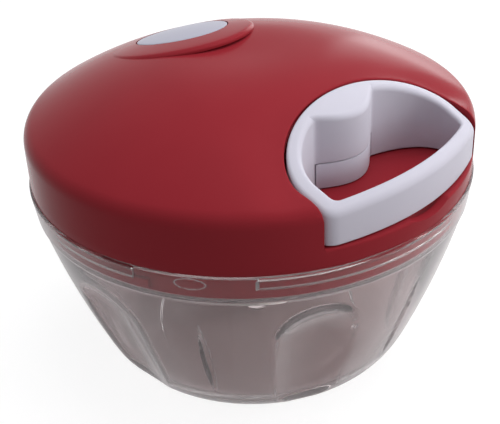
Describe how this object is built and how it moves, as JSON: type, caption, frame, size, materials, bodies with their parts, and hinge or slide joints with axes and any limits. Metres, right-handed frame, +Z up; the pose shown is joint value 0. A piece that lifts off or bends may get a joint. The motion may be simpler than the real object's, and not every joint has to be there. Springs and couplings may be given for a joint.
{
  "type": "pull cord food chopper",
  "caption": "Small hand food chopper: clear round bowl with pressed scoops, red twist-on lid, white pull handle on a cord, and three blades on a shaft.",
  "frame": {"origin": "middle of the bowl's foot, on the surface it stands on", "axes": "+Z up along the bowl's axis, -Y the way the handle is pulled out, +X to the right of someone facing the handle's side"},
  "size_m": [0.1194, 0.1194, 0.0859],
  "materials": {
    "clear": "clear moulded plastic, glossy, faintly grey",
    "red": "dark red moulded plastic, glossy",
    "white": "cool white moulded plastic, satin gloss",
    "badge": "pale grey plastic inlay, satin",
    "natural": "natural white moulded plastic",
    "black": "black moulded plastic",
    "steel": "polished stainless steel",
    "cord": "white braided cord"
  },
  "bodies": {
    "bowl": {"bowl": "clear", "bowl_pin": "steel"},
    "lid": {"lid_cover": "red", "lid_base": "red", "lid_badge": "badge", "cover_screw_1": "steel", "cover_screw_2": "steel", "cover_screw_3": "steel", "cover_screw_4": "steel", "spring_housing": "black", "spring_cover": "black", "recoil_spring": "steel", "housing_screw_1": "steel", "housing_screw_2": "steel", "housing_screw_3": "steel", "spool_axle": "steel", "axle_washer": "steel", "axle_screw": "steel", "cord_guide": "natural", "pull_cord": "cord"},
    "handle": {"handle_loop": "white", "handle_cap": "white", "cord_knot": "cord"},
    "spool": {"spool": "natural", "cord_winding": "cord"},
    "pawl_1": {"pawl_1": "natural"},
    "pawl_2": {"pawl_2": "natural"},
    "drive": {"drive_hub": "natural", "blade_shaft": "natural", "blade_low": "steel", "blade_middle": "steel", "blade_high": "steel"}
  },
  "joints": [
    {"name": "lid_twist", "type": "hinge", "parent": "bowl", "child": "lid", "pos_m": [0, 0, 0.055], "axis": [0, 0, 1], "range_deg": [0, 18.3]},
    {"name": "handle_pull", "type": "slide", "parent": "lid", "child": "handle", "axis": [0, -1, 0], "range_m": [0, 0.35], "stiffness_N_per_m": 12, "springref_m": -0.35, "deforming": ["pull_cord"]},
    {"name": "spool_turn", "type": "hinge", "parent": "lid", "child": "spool", "pos_m": [0, 0, 0.0698], "axis": [0, 0, 1], "range_deg": [-1030, 0], "deforming": ["recoil_spring"]},
    {"name": "drive_turn", "type": "hinge", "parent": "lid", "child": "drive", "pos_m": [0, 0, 0.057], "axis": [0, 0, 1], "range_deg": [-1030, 0]},
    {"name": "pawl_1_lift", "type": "hinge", "parent": "spool", "child": "pawl_1", "pos_m": [0.01335, 0.0097, 0.0698], "axis": [0, 0, 1], "range_deg": [0, 12]},
    {"name": "pawl_2_lift", "type": "hinge", "parent": "spool", "child": "pawl_2", "pos_m": [-0.01335, -0.0097, 0.0698], "axis": [0, 0, 1], "range_deg": [0, 12]}
  ],
  "couplings": [
    {"joint": "spool_turn", "follows": "handle_pull", "rad_per_m": -51.282},
    {"joint": "drive_turn", "follows": "handle_pull", "rad_per_m": -51.282}
  ]
}
